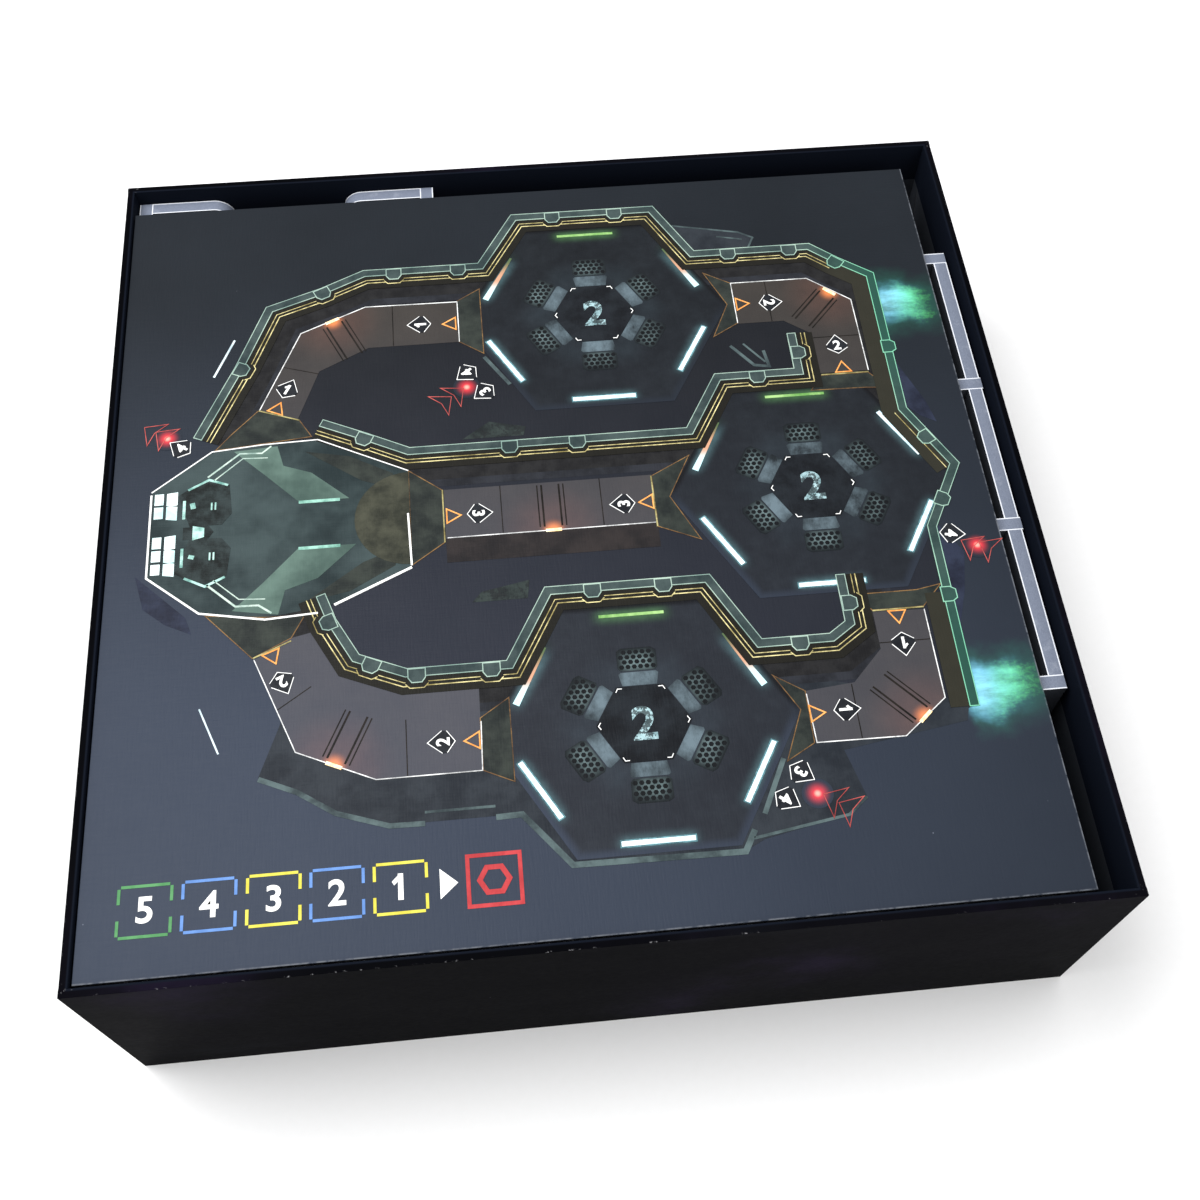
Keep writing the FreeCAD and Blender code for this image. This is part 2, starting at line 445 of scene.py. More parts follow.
def liner_paper():
    """The liner's paper, with the crease that starts at each back corner of the rim; the crease is painted
    lighter, a painted highlight along it.
    """
    finish, base, grain = black_paper("liner_paper", 0.022)
    x, y, z = finish.axes()
    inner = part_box("inner_liner")[1].x / mm
    rise = cad_high.z / mm - z
    along = inner - y
    crease = (along - rise * 0.35).size().fade(1.2, 0.0)
    normal = finish.bump(crease, 0.0006, grain)
    # The crease is painted lighter: a painted highlight along its ridge.
    base = finish.blend(base, (0.05, 0.05, 0.055), crease * 0.25)
    return finish.done(base, 0.62, normal, specular=0.2)


paint("inner_liner", liner_paper())


# ---- organiser trays -----------------------------------------------------------------------
# Six trays cut from foam core: a blue-grey foam sheet between two black papers with white backs.
# Cut edges show the foam with a white line at each side; the walls are glued, and the right
# tray's cross-walls drop into slots in its long walls.
skin = 0.38 * mm


def foam_edge():
    """Cut foam: fine closed cells, a little torn, with faint strokes from the knife."""
    finish = Finish("foam_edge")
    cells = finish.noise(0.00035, 2, 0.6)
    drag = finish.noise(0.004, 3, 0.6)
    base = finish.blend((0.105, 0.126, 0.175), (0.20, 0.225, 0.29), cells)
    base = finish.blend(base, (0.26, 0.285, 0.345), drag.fade(0.55, 0.75) * 0.5)
    return finish.done(base, 0.8, finish.bump(cells, 0.00012), specular=0.25)


def skin_edge():
    """The white backing of the paper seen at a cut edge."""
    finish = Finish("skin_edge")
    ragged = finish.noise(0.0009, 3, 0.7)
    base = finish.blend((0.52, 0.55, 0.62), (0.86, 0.88, 0.92), ragged)
    return finish.done(base, 0.85, finish.bump(ragged, 0.00005), specular=0.25)


def tray_paper():
    """The panels' black face paper, scuffed grey in places."""
    finish, base, grain = black_paper("tray_paper", 0.030)
    scuffs = finish.noise(0.02, 5, 0.75, (1, 1, 0.4)).fade(0.62, 0.80)
    base = finish.blend(base, (0.045, 0.048, 0.055), scuffs * 0.6)
    return finish.done(base, 0.7, grain, specular=0.3)


tray_finishes = [tray_paper(), skin_edge(), foam_edge()]


def foam_core_panel(node, body):
    """One panel: its cut edges divided into white skin, foam and white skin."""
    low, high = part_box(node)
    size = high - low
    thin = min(range(3), key=lambda axis: size[axis])
    normal = [0, 0, 0]
    normal[thin] = 1
    piece = copy_of_node(node, node + "_panel")
    for face_side, inward in ((low, 1), (high, -1)):
        place = Vector(low)
        place[thin] = face_side[thin] + inward * skin
        cut_through(piece, place, normal)
    for finish in tray_finishes:
        piece.data.materials.append(finish)
    for face in piece.data.polygons:
        depth = min(face.center[thin] - low[thin], high[thin] - face.center[thin])
        is_paper = abs(face.normal[thin]) > 0.5
        face.material_index = 0 if is_paper else (1 if depth < skin else 2)
    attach(piece, body)
    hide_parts(node)


tray_bodies = [body for body in frame["bodies"] if body.endswith("_tray")]
for body in tray_bodies:
    for node in frame["record"]["behaviour"]["bodies"][body]:
        foam_core_panel(node, body)


# ---- folded game board: cores, linings and hinge cloth -------------------------------------
# Two leaves of greyboard joined by a strip of black cloth in the fold.  The printed sheet is
# turned over each edge, so the core's sides are black and rub through to white board.
def turned_edge():
    """The printed sheet where it wraps the board's edge, rubbed pale along the arrises."""
    finish = Finish("turned_edge")
    x, y, z = finish.axes()
    low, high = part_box("upper_leaf_core")
    middle = (low.z + high.z) / 2 / mm
    arris = (z - middle).size().fade(0.45, 0.9)
    rubbed = finish.noise(0.0022, 4, 0.7).fade(0.40, 0.62)
    base = finish.blend((0.011, 0.011, 0.014), (0.30, 0.31, 0.34), arris * rubbed)
    return finish.done(base, 0.6, specular=0.3)


def hinge_cloth():
    """Black bookbinder's cloth with a fine square weave."""
    finish = Finish("hinge_cloth")
    x, y, z = finish.axes()
    thread = 0.35
    warp = (x * (math.tau / thread)).sine()
    weft = (y * (math.tau / thread)).sine()
    weave = warp * weft * 0.5 + 0.5
    base = finish.blend((0.006, 0.006, 0.007), (0.025, 0.025, 0.028), weave)
    return finish.done(base, 0.75, finish.bump(weave, 0.00005), specular=0.3)


class Print(Finish):
    """A printed finish, with the pressed linen texture that all of the board's print shares."""
    thread = 0.55 * mm
    gloss = 0.42
    shine = 0.095

    def __init__(self, name):
        super().__init__(name)
        ribs_x = self.noise(self.thread, 1, 0.4, (1, 0.12, 1))
        ribs_y = self.noise(self.thread, 1, 0.4, (0.12, 1, 1))
        self.linen = ribs_x + ribs_y

    def printed(self, colour):
        """The finished material with this colour."""
        pressed = self.bump(self.linen, 0.00006)
        return self.done(colour, self.gloss + self.linen * 0.08, pressed, specular=self.shine)


def night_sheet(name):
    """The dark ground of the print: near-black slate with a soft mottle and tiny stars."""
    finish = Print(name)
    mottle = finish.noise(0.06, 5, 0.6)
    stars = finish.specks(0.0085, 0.022) * finish.noise(0.02, 2, 0.5).fade(0.45, 0.6)
    base = finish.blend((0.005, 0.007, 0.010), (0.011, 0.0145, 0.020), mottle)
    base = finish.blend(base, (0.23, 0.25, 0.30), stars * 0.7)
    return finish, base


def chart_print(name):
    """The inside of the board: a star chart with a faint square grid and rings about its middle."""
    finish, base = night_sheet(name)
    x, y, z = finish.axes()
    pitch = 36.0
    ring_pitch = 54.0
    columns = (x * (math.pi / pitch)).sine().size()
    rows = (y * (math.pi / pitch)).sine().size()
    lines = columns.least(rows).fade(0.026, 0.016)
    base = finish.blend(base, (0.045, 0.085, 0.095), lines * 0.8)
    reach = (x * x + y * y) ** 0.5
    rings = (reach * (math.pi / ring_pitch)).sine().size().fade(0.022, 0.014)
    base = finish.blend(base, (0.16, 0.15, 0.07), rings * 0.8)
    return finish.printed(base)


edge_material = turned_edge()
cloth_material = hinge_cloth()
lining_material = chart_print("board_lining")
for leaf in ("lower_leaf", "upper_leaf"):
    paint(leaf + "_core", edge_material)
    paint(leaf + "_hinge_cloth", cloth_material)
    paint(leaf + "_inner_sheet", lining_material)
underside, underside_colour = night_sheet("board_underside")
paint("lower_leaf_face", underside.printed(underside_colour))


# ---- folded game board: printed top sheet --------------------------------------------------
# The sheet that shows when the board lies in the box: art paper with a pressed linen finish.
# The ground is night slate with a painted sheen, a painted reflection of the lamps that makes it
# bluer and paler towards the front, and the spray of two green engine flares at the right edge.
flares = [(114.5, 71.0), (115.0, -79.5)]
# The colour of the painted sheen: a painted reflection of the lamps, bluer and paler at the front left.
front_painted_sheen = (0.020, 0.026, 0.042)


def painted_sheen_share(x, y):
    """How much a place on the print has of the painted sheen, a painted reflection that is paler at the
    front left.
    """
    return y.fade(110.0, -90.0) * x.fade(300.0, -100.0)


def open_sky(name):
    """The night sheet as it lies about the ship, with a painted sheen that makes it bluer and paler
    towards the front left.
    """
    finish, base = night_sheet(name)
    x, y, z = finish.axes()
    return finish, finish.glow(base, front_painted_sheen, painted_sheen_share(x, y)), x, y


def top_sheet_print():
    """The sky with the engines' green and blue spray, rubbed pale at the right and front edges."""
    finish, base, x, y = open_sky("top_sheet_print")
    drift = finish.noise(0.016, 4, 0.6) - 0.5
    streaks = finish.noise(0.006, 5, 0.7, (0.3, 1, 1))
    grit = finish.noise(0.0013, 3, 0.8)
    for flare_x, flare_y in flares:
        along = x - flare_x + drift * 9.0
        across = (y - flare_y + drift * 16.0).size()
        spread = (across / (15.0 - along * 0.12)).fade(1.25, 0.15)
        started = along.fade(-4.5, -1.0)
        haze = spread * along.fade(36.0, 4.0) * started
        base = finish.glow(base, (0.006, 0.070, 0.044), haze * 0.9)
        spray = (haze + streaks * 0.9 + grit * 0.45).fade(1.15, 1.75)
        drops = spray * haze.fade(0.06, 0.4) * along.fade(2.0, 12.0)
        base = finish.glow(base, (0.055, 0.33, 0.06), drops)
        core = (across / 9.5).fade(1.2, 0.1) * along.fade(18.0, 1.0) * started
        base = finish.glow(base, (0.12, 0.35, 0.55), core * (streaks * 2.9 - 0.65).most(0.1))
        base = finish.glow(base, (0.16, 0.26, 0.20), core * core * spray * 0.45)
    rub = finish.noise(0.004, 4, 0.7).fade(0.35, 0.6)
    edge = x.fade(sheet_high.x / mm - 0.6, sheet_high.x / mm - 0.1)
    edge = edge.most(y.fade(sheet_low.y / mm + 0.6, sheet_low.y / mm + 0.1))
    base = finish.blend(base, (0.12, 0.13, 0.15), edge * rub)
    return finish.printed(base)


def on_upper_side(a, b):
    """True on the long edges of the sheet's upper side."""
    return (a - b).length > 1 * mm and min(a.z, b.z) > sheet_high.z - cad_edge


def board_panel(name, node, body, material):
    """A printed sheet on a leaf, with its edges turned down softly."""
    piece = copy_of_node(node, name)
    round_edges(piece, 0.12 * mm, on_upper_side, 2)
    piece.data.materials.append(material)
    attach(piece, body)
    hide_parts(node)


sheet_low, sheet_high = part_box("upper_leaf_face")
board_panel("top_sheet", "upper_leaf_face", "upper_leaf", top_sheet_print())


# ---- board print: how shapes are laid down -------------------------------------------------
# The plan on the board is printed in opaque inks.  Each ink is a set of thin flat islands on the
# sheet, one step higher than the ink below it, and all share the sheet's pressed linen.
# Places on the board are millimetres from the middle of the box.
ink_step = 0.05 * mm


def stamp(name, outlines, step, material):
    """Lays outlines down as one ink, some steps thick; an outline inside another is left open."""
    curve = bpy.data.curves.new(name, "CURVE")
    curve.dimensions = "2D"
    curve.fill_mode = "BOTH"
    curve.extrude = ink_step * step / 2
    for outline in outlines:
        spline = curve.splines.new("POLY")
        spline.points.add(len(outline) - 1)
        for point, (x, y) in zip(spline.points, outline):
            point.co = (x * mm, y * mm, 0, 1)
        spline.use_cyclic_u = True
    piece = bpy.data.objects.new(name, curve)
    bpy.context.scene.collection.objects.link(piece)
    select_only(piece)
    bpy.ops.object.convert(target="MESH")
    piece = bpy.context.object
    bpy.ops.object.mode_set(mode="EDIT")
    bpy.ops.mesh.select_all(action="SELECT")
    bpy.ops.mesh.remove_doubles(threshold=merge_distance)
    bpy.ops.mesh.normals_make_consistent(inside=False)
    bpy.ops.object.mode_set(mode="OBJECT")
    piece.data.transform(Matrix.Translation((0, 0, sheet_high.z + curve.extrude)))
    piece.data.materials.clear()
    piece.data.materials.append(material)
    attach(piece, "upper_leaf")


def beside(points, distance, closed=False):
    """A line that runs beside another, to the right of its direction, with mitred corners."""
    count = len(points)
    moved = []
    for i, point in enumerate(points):
        here = Vector(point)
        before = Vector(points[i - 1]) if i > 0 or closed else None
        after = Vector(points[(i + 1) % count]) if i < count - 1 or closed else None
        ways = []
        if before is not None:
            ways.append((here - before).normalized())
        if after is not None:
            ways.append((after - here).normalized())
        sides = [Vector((way.y, -way.x)) for way in ways]
        mitre = (sides[0] + sides[-1]).normalized()
        moved.append(tuple(here + mitre * (distance / mitre.dot(sides[0]))))
    return moved


def ribbon(points, width):
    """The outline of a line of a given width."""
    return beside(points, -width / 2) + beside(points, width / 2)[::-1]


def frame_of(points, width):
    """Two outlines that leave a closed line of a given width between them."""
    return [beside(points, -width / 2, True), beside(points, width / 2, True)]


def regular(middle, radius, sides, turn=0.0):
    """A regular outline; a turn of 0 puts a corner on the right."""
    step = math.tau / sides
    corners = [turn + step * i for i in range(sides)]
    return [(middle[0] + radius * math.cos(a), middle[1] + radius * math.sin(a)) for a in corners]


def slab(middle, length, width, turn=0.0):
    """A rectangle with its length turned from the X axis."""
    cosine, sine = math.cos(turn) / 2, math.sin(turn) / 2
    along = Vector((cosine * length, sine * length))
    across = Vector((-sine * width, cosine * width))
    here = Vector(middle)
    corners = ((-1, -1), (1, -1), (1, 1), (-1, 1))
    return [tuple(here + a * along + b * across) for a, b in corners]


def turned(points, middle, turn):
    """Points given about the origin, turned and moved to a middle."""
    cosine, sine = math.cos(turn), math.sin(turn)
    return [(middle[0] + x * cosine - y * sine, middle[1] + x * sine + y * cosine) for x, y in points]


def placed(points, place):
    """Points given about the origin, moved to a place given as x, y and a turn in degrees."""
    x, y, turn = place
    return turned(points, (x, y), math.radians(turn))


def ink(name, dark, light, grain=0.004, worn=0.0, ground=(0.008, 0.009, 0.011)):
    """A mottled ink; worn is how much of it has been drawn as rubbed away to the ground."""
    finish = Print(name)
    mottle = finish.noise(grain, 4, 0.65)
    colour = finish.blend(dark, light, mottle.fade(0.32, 0.68))
    if worn:
        gone = finish.noise(grain * 0.6, 4, 0.75).fade(0.44 + worn * 0.2, 0.40 + worn * 0.2)
        colour = finish.blend(colour, ground, gone * min(1.0, worn * 2))
    return finish.printed(colour)


# ---- board print: hull plates --------------------------------------------------------------
# The ship's hull about the rooms: a dark outline with fainter plates, fins and gratings printed
# over it, lit along their edges by the engines and the stars.
hull_ink = ink("hull_ink", (0.010, 0.013, 0.018), (0.022, 0.027, 0.034), 0.012)
hull_edge_ink = ink("hull_edge_ink", (0.022, 0.032, 0.036), (0.080, 0.115, 0.118), 0.010)
fin_ink = ink("fin_ink", (0.008, 0.010, 0.020), (0.020, 0.026, 0.048), 0.010)
lower_hull = [(-97, -89), (-86, -94), (-75, -101.5), (-60, -107), (-23, -107), (-9.5, -123.5),
              (39, -124), (45, -121), (70, -116), (76, -111), (72, -96), (110, -90), (112, -84),
              (60, -70), (-90, -70)]
upper_fin = [(44, 112), (47, 114), (70, 109), (75, 106), (72.5, 101), (53, 101)]
left_fin = [(-136, -18), (-120, -34), (-118, -40), (-126, -36), (-133, -30)]
right_fins = [[(115, 46), (122, 28), (124, 19), (119, 22), (114.5, 27)],
              [(115, -20), (122, -32), (119, -46), (115, -58)]]


def hull_shadow_print():
    """The ship's own dark hull, which shows between the rooms."""
    finish = Print("hull_shadow_print")
    x, y, z = finish.axes()
    base = finish.blend((0.003, 0.004, 0.006), (0.009, 0.010, 0.013), finish.noise(0.02, 4, 0.6))
    # A painted sheen: the lamps' painted reflection, paler towards the front left.
    base = finish.glow(base, (0.011, 0.013, 0.021), painted_sheen_share(x, y))
    return finish.printed(base)


hull_outline = [(-106, 61), (-96.2, 86.3), (-78.3, 93), (-63.7, 100), (-22.8, 100), (-9.7, 122.3),
                (39.7, 122.3), (52, 99.4), (94, 99.4), (102.7, 92.2), (113.4, 84.5), (113.2, 25),
                (125.7, 1.6), (113.3, -21.7), (112.8, -85.5), (91, -93), (64, -93), (38, -122),
                (-8, -122), (-33, -92), (-63, -92), (-86, -81), (-98, -50), (-88, -44), (-76, -33),
                (-51, -21), (-51, 14), (-80, 29), (-97, 30), (-98, 43)]
stamp("hull_shadow", [hull_outline], 0.5, hull_shadow_print())
stamp("hull_plates", [lower_hull, upper_fin], 1, hull_ink)
stamp("hull_fins", [left_fin, *right_fins], 1, fin_ink)
edges = [ribbon([(-97, -89.5), (-86, -94.5), (-75, -102), (-60, -107.2), (-50, -107.4)], 1.6),
         ribbon([(-50, -104), (-30, -104)], 0.8),
         ribbon([(-30, -107.4), (-22.6, -107.2), (-9.5, -123.6), (39, -124.2), (42.5, -118)], 1.8),
         ribbon([(42, -120.5), (70, -116), (76, -111)], 0.9),
         ribbon([(46, -113.5), (54, -97)], 1.5),
         *frame_of(upper_fin, 0.7),
         ribbon([(62, 107.5), (71, 105.5)], 0.6),
         ribbon([(-24, 59.5), (-16, 47)], 1.3),
         ribbon([(60, 57), (67, 48), (72, 47), (71, 54)], 1.1),
         ribbon([(64.5, 57.5), (71, 49)], 0.7)]
stamp("hull_edges", edges, 2, hull_edge_ink)
grating_ink = ink("grating_ink", (0.008, 0.011, 0.012), (0.026, 0.036, 0.034), 0.006, 0.3)
gratings = [[(-33, 25.5), (-13, 25.5), (-12, 29), (-24, 32)],
            [(-33, -36.5), (-16, -36.5), (-15, -30), (-30, -33)]]
stamp("hull_gratings", gratings, 1.6, grating_ink)
streak_ink = ink("streak_ink", (0.35, 0.45, 0.50), (0.75, 0.85, 0.88), 0.008)
streaks = [ribbon([(-114.5, 58.5), (-108, 74)], 0.7), ribbon([(-114.6, -65.5), (-108.6, -80.5)], 0.5)]
stamp("hull_lights", streaks, 2, streak_ink)


# ---- board print: hexagonal rooms ----------------------------------------------------------
# Three like rooms: a dark floor, six struts and six grilles round a hexagonal plate with a worn
# numeral, and a strip lamp along each wall.  The lamp at the back is green, those beside it aged.
room_middles = [(15.0, 75.5), (78.5, -2.8), (15.0, -82.0)]
room_radius = 46.5
plate_radius = 14.2
lamp_distance = 36.8
lamp_length = 21.0
lamp_width = 1.5
hexagon_ways = [math.radians(30 + 60 * i) for i in range(6)]


def room_axes(finish, middle):
    """How far out a place is towards its wall, how far along that wall, and how far back."""
    x, y, z = finish.axes()
    dx, dy = x - middle[0], y - middle[1]
    slant = dx * math.cos(math.radians(30))
    rise = dy * 0.5
    reach = dy.size().most((slant + rise).size()).most((rise - slant).size())
    along = (dx * dx + dy * dy - reach * reach).most(0.0) ** 0.5
    return reach, along, dy


def room_floor(name, middle):
    """Nearly black plating, scratched, with the lamps' light falling on it and dark corners."""
    finish, sky, x, y = open_sky(name)
    reach, along, dy = room_axes(finish, middle)
    scratches = finish.noise(0.0045, 6, 0.75)
    blotches = finish.noise(0.018, 4, 0.6)
    base = finish.blend((0.003, 0.004, 0.006), (0.011, 0.014, 0.018), scratches * blotches * 1.9)
    near_lamp = (reach - lamp_distance).size().fade(5.0, 0.0) * along.fade(15.0, 8.0)
    near_lamp = near_lamp * near_lamp * (0.2 + scratches)
    base = finish.glow(base, (0.050, 0.105, 0.115), near_lamp * dy.fade(30.0, 20.0))
    base = finish.glow(base, (0.035, 0.10, 0.030), near_lamp * dy.fade(26.0, 34.0))
    ring = (reach - 16.0).size().fade(9.0, 0.0)
    base = finish.glow(base, (0.008, 0.013, 0.016), ring * blotches)
    # A painted sheen: the lamps' painted reflection, paler towards the front left.
    base = finish.glow(base, (0.009, 0.010, 0.014), painted_sheen_share(x, y))
    base = finish.blend(base, sky, reach.fade(37.0, 40.0) * dy.fade(6.0, -6.0))
    under_wall = reach.fade(38.0, 40.0) * dy.fade(-6.0, 6.0)
    base = finish.blend(base, (0.002, 0.002, 0.003), under_wall * 0.8)
    return finish.printed(base)


def numeral(name, text, middle, height, turn, step, material, weight=0.012):
    """A flat printed numeral, made at the font's own size and fitted; weight thickens its strokes."""
    bpy.ops.object.select_all(action="DESELECT")
    bpy.ops.object.text_add()
    sign = bpy.context.object
    sign.name = name
    sign.data.body = text
    sign.data.align_x = "CENTER"
    sign.data.align_y = "CENTER"
    sign.data.offset = weight
    sign.data.extrude = 0.01
    bpy.ops.object.convert(target="MESH")
    sign = bpy.context.object
    select_only(sign)
    bpy.ops.object.mode_set(mode="EDIT")
    bpy.ops.mesh.select_all(action="SELECT")
    bpy.ops.mesh.remove_doubles(threshold=0.0001)
    bpy.ops.mesh.normals_make_consistent(inside=False)
    bpy.ops.object.mode_set(mode="OBJECT")
    corners = [corner.co.copy() for corner in sign.data.vertices]
    low = Vector([min(corner[axis] for corner in corners) for axis in range(3)])
    high = Vector([max(corner[axis] for corner in corners) for axis in range(3)])
    centre = Matrix.Translation(-(low + high) / 2)
    scale = height * mm / (high.y - low.y)
    thickness = ink_step * step
    grow = Matrix.Diagonal((scale, scale, thickness / (high.z - low.z), 1))
    place = Matrix.Translation((middle[0] * mm, middle[1] * mm, sheet_high.z + thickness / 2))
    sign.data.transform(place @ Matrix.Rotation(turn, 4, "Z") @ grow @ centre)
    sign.data.materials.append(material)
    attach(sign, "upper_leaf")


def worn_metal(name, middle, light, centre, depth, breadth):
    """Bare metal that shows about the middle of each part and fades into the floor round it."""
    finish = Print(name)
    reach, along, dy = room_axes(finish, middle)
    scratches = finish.noise(0.0030, 5, 0.75, (1, 0.6, 1))
    patches = finish.noise(0.014, 3, 0.6)
    shown = (reach - centre).size().fade(depth, depth * 0.2) * along.fade(breadth, breadth * 0.3)
    shown = shown * (scratches * 1.5 + patches * 2.2 - 1.25).most(0.06)
    base = finish.blend((0.005, 0.007, 0.009), light, shown)
    return finish.printed(base)


hole_ink = ink("hole_ink", (0.002, 0.003, 0.004), (0.004, 0.005, 0.007), 0.004)
plate_ink = ink("plate_ink", (0.003, 0.004, 0.006), (0.010, 0.013, 0.017), 0.009)
lamp_ink = ink("lamp_ink", (0.46, 0.70, 0.80), (0.78, 0.91, 0.95), 0.004)
lamp_halo_ink = ink("lamp_halo_ink", (0.05, 0.12, 0.14), (0.12, 0.26, 0.29), 0.003, 0.2)
green_lamp_ink = ink("green_lamp_ink", (0.10, 0.26, 0.06), (0.32, 0.52, 0.20), 0.008)
worn_white_ink = ink("worn_white_ink", (0.15, 0.25, 0.27), (0.36, 0.52, 0.55), 0.003, 0.42)
white_ink = ink("white_ink", (0.72, 0.73, 0.72), (0.90, 0.90, 0.88), 0.003)


def aged_lamp(name, middle):
    """A strip lamp that has aged: cold at its foot, amber and then green towards the back."""
    finish = Print(name + "_lamp_print")
    x, y, z = finish.axes()
    rise = y - middle[1]
    base = finish.blend((0.50, 0.78, 0.82), (0.50, 0.27, 0.17), rise.fade(12.0, 18.0))
    base = finish.blend(base, (0.07, 0.11, 0.05), rise.fade(19.0, 27.0))
    return finish.printed(base)


strut = [(12.5, -5.2), (16.4, -6.0), (17.0, -5.3), (17.0, 5.3), (16.4, 6.0), (12.5, 5.2)]
grille_start = 17.5
grille_end = 25.2
grille_half = 6.0
grille_side = [(grille_start, -grille_half + 0.8), (grille_start + 1, -grille_half),
               (grille_end - 1, -grille_half), (grille_end, -grille_half + 1.5)]
grille = grille_side + [(x, -y) for x, y in grille_side[::-1]]
hole_pitch = 1.9
hole_radius = 0.80
hole_rows = 4
chevron = [(-0.7, -1.1), (0.0, 0.0), (-0.7, 1.1)]
lamp_foot = 10.5


def wall_strip(middle, way, length, width):
    """A strip that lies along one wall, where its lamp is."""
    spot = turned([(lamp_distance, 0)], middle, way)[0]
    return slab(spot, length, width, way + math.pi / 2)


def grille_holes(middle, way):
    """Rows of small hexagonal holes that fill one grille."""
    holes = []
    for row in range(hole_rows):
        across = 6 - row % 2
        distance = grille_start + 1.3 + row * hole_pitch * 0.87
        for i in range(across):
            sideways = (i - (across - 1) / 2) * hole_pitch
            spot = turned([(distance, sideways)], middle, way)[0]
            holes.append(regular(spot, hole_radius, 6, way + math.pi / 6))
    return holes


for number, middle in enumerate(room_middles, 1):
    label = "room_" + str(number)
    floor_print = room_floor(label + "_floor", middle)
    strut_print = worn_metal(label + "_strut_print", middle, (0.105, 0.145, 0.170), 14.8, 6.5, 8.5)
    grille_print = worn_metal(label + "_grille_print", middle, (0.095, 0.135, 0.140), 20.6, 4.8, 6.6)
    stamp(label + "_floor", [regular(middle, room_radius, 6)], 2.2, floor_print)
    stamp(label + "_struts", [turned(strut, middle, way) for way in hexagon_ways], 3, strut_print)
    stamp(label + "_grilles", [turned(grille, middle, way) for way in hexagon_ways], 3, grille_print)
    holes = [hole for way in hexagon_ways for hole in grille_holes(middle, way)]
    stamp(label + "_grille_holes", holes, 4, hole_ink)
    stamp(label + "_plate", [regular(middle, plate_radius, 6)], 4, plate_ink)
    corner_marks = []
    for corner in regular(middle, plate_radius - 0.7, 6):
        way = math.atan2(corner[1] - middle[1], corner[0] - middle[0])
        corner_marks.append(ribbon(turned(chevron, corner, way), 0.26))
    stamp(label + "_plate_corners", corner_marks, 5, white_ink)
    front_ways = hexagon_ways[3:]
    halos = [wall_strip(middle, way, lamp_length + 0.8, lamp_width + 0.9) for way in front_ways]
    lamps = [wall_strip(middle, way, lamp_length, lamp_width) for way in front_ways]
    stamp(label + "_lamp_halos", halos, 3, lamp_halo_ink)
    stamp(label + "_lamps", lamps, 4, lamp_ink)
    for side, way, foot in (("right", hexagon_ways[0], -lamp_foot), ("left", hexagon_ways[2], lamp_foot)):
        if number == 2 and side == "right":
            foot_widths, top_widths = (-0.75, 0.75), (0.75, -0.75)
            lamp_print = lamp_ink
        else:
            foot_widths, top_widths = (-1.1, 1.0), (0.9, 0.1)
            lamp_print = aged_lamp(label + "_" + side, middle)
        strip = [(lamp_distance + width, foot) for width in foot_widths]
        strip += [(lamp_distance + width, -foot) for width in top_widths]
        stamp(label + "_" + side + "_lamp", [turned(strip, middle, way)], 4, lamp_print)
    green_lamp = slab((middle[0], middle[1] + lamp_distance), 20, 1.0)
    stamp(label + "_green_lamp", [green_lamp], 4, green_lamp_ink)
    numeral(label + "_numeral", "2", middle, 11.0, 0.0, 5, worn_white_ink, 0.03)


# ---- board print: corridors ----------------------------------------------------------------
# Five corridors with brown deck plates join the rooms.  Each has a white line along its outer
# side with an amber lamp on it, dark ribs across the deck, and a rust-edged sill at each door.
deck_lamps = [(-75.0, 79.6, 25), (98.0, 78.2, -42), (-6.0, -12.4, 0), (-75.5, -87.2, -25),
              (98.0, -87.6, 42)]
deck_lamp_length = 5.0
deck_lamp_width = 1.1


def deck_print():
    """Worn and stained brown plates, warmed by the amber lamps."""
    finish = Print("deck_print")
    x, y, z = finish.axes()
    grime = finish.noise(0.010, 5, 0.7)
    stains = finish.noise(0.035, 3, 0.5)
    base = finish.blend((0.014, 0.0125, 0.012), (0.046, 0.040, 0.035), grime * 0.55 + stains * 0.55)
    # A painted sheen: the lamps' painted reflection, paler towards the front left.
    base = finish.glow(base, front_painted_sheen, painted_sheen_share(x, y))
    for lamp_x, lamp_y, turn in deck_lamps:
        reach = ((x - lamp_x) ** 2.0 + (y - lamp_y) ** 2.0) ** 0.5
        base = finish.glow(base, (0.035, 0.009, 0.004), reach.fade(20.0, 2.0) * (0.25 + grime))
        base = finish.glow(base, (0.55, 0.15, 0.03), reach.fade(5.5, 0.5) ** 2.0)
    return finish.printed(base)


deck_ink = deck_print()
skirt_ink = ink("skirt_ink", (0.010, 0.009, 0.010), (0.022, 0.018, 0.018), 0.012)
rib_ink = ink("rib_ink", (0.004, 0.0035, 0.003), (0.014, 0.011, 0.009), 0.005)
sill_ink = ink("sill_ink", (0.009, 0.012, 0.012), (0.027, 0.033, 0.028), 0.010)
gold_line_ink = ink("gold_line_ink", (0.15, 0.125, 0.045), (0.40, 0.36, 0.16), 0.006, 0.15)
amber_ink = ink("amber_ink", (1.0, 0.60, 0.24), (1.0, 0.90, 0.64), 0.002)
line_ink = ink("line_ink", (0.42, 0.43, 0.43), (0.84, 0.85, 0.84), 0.007, 0.16)
rust_line_ink = ink("rust_line_ink", (0.075, 0.040, 0.020), (0.21, 0.12, 0.045), 0.006, 0.2)

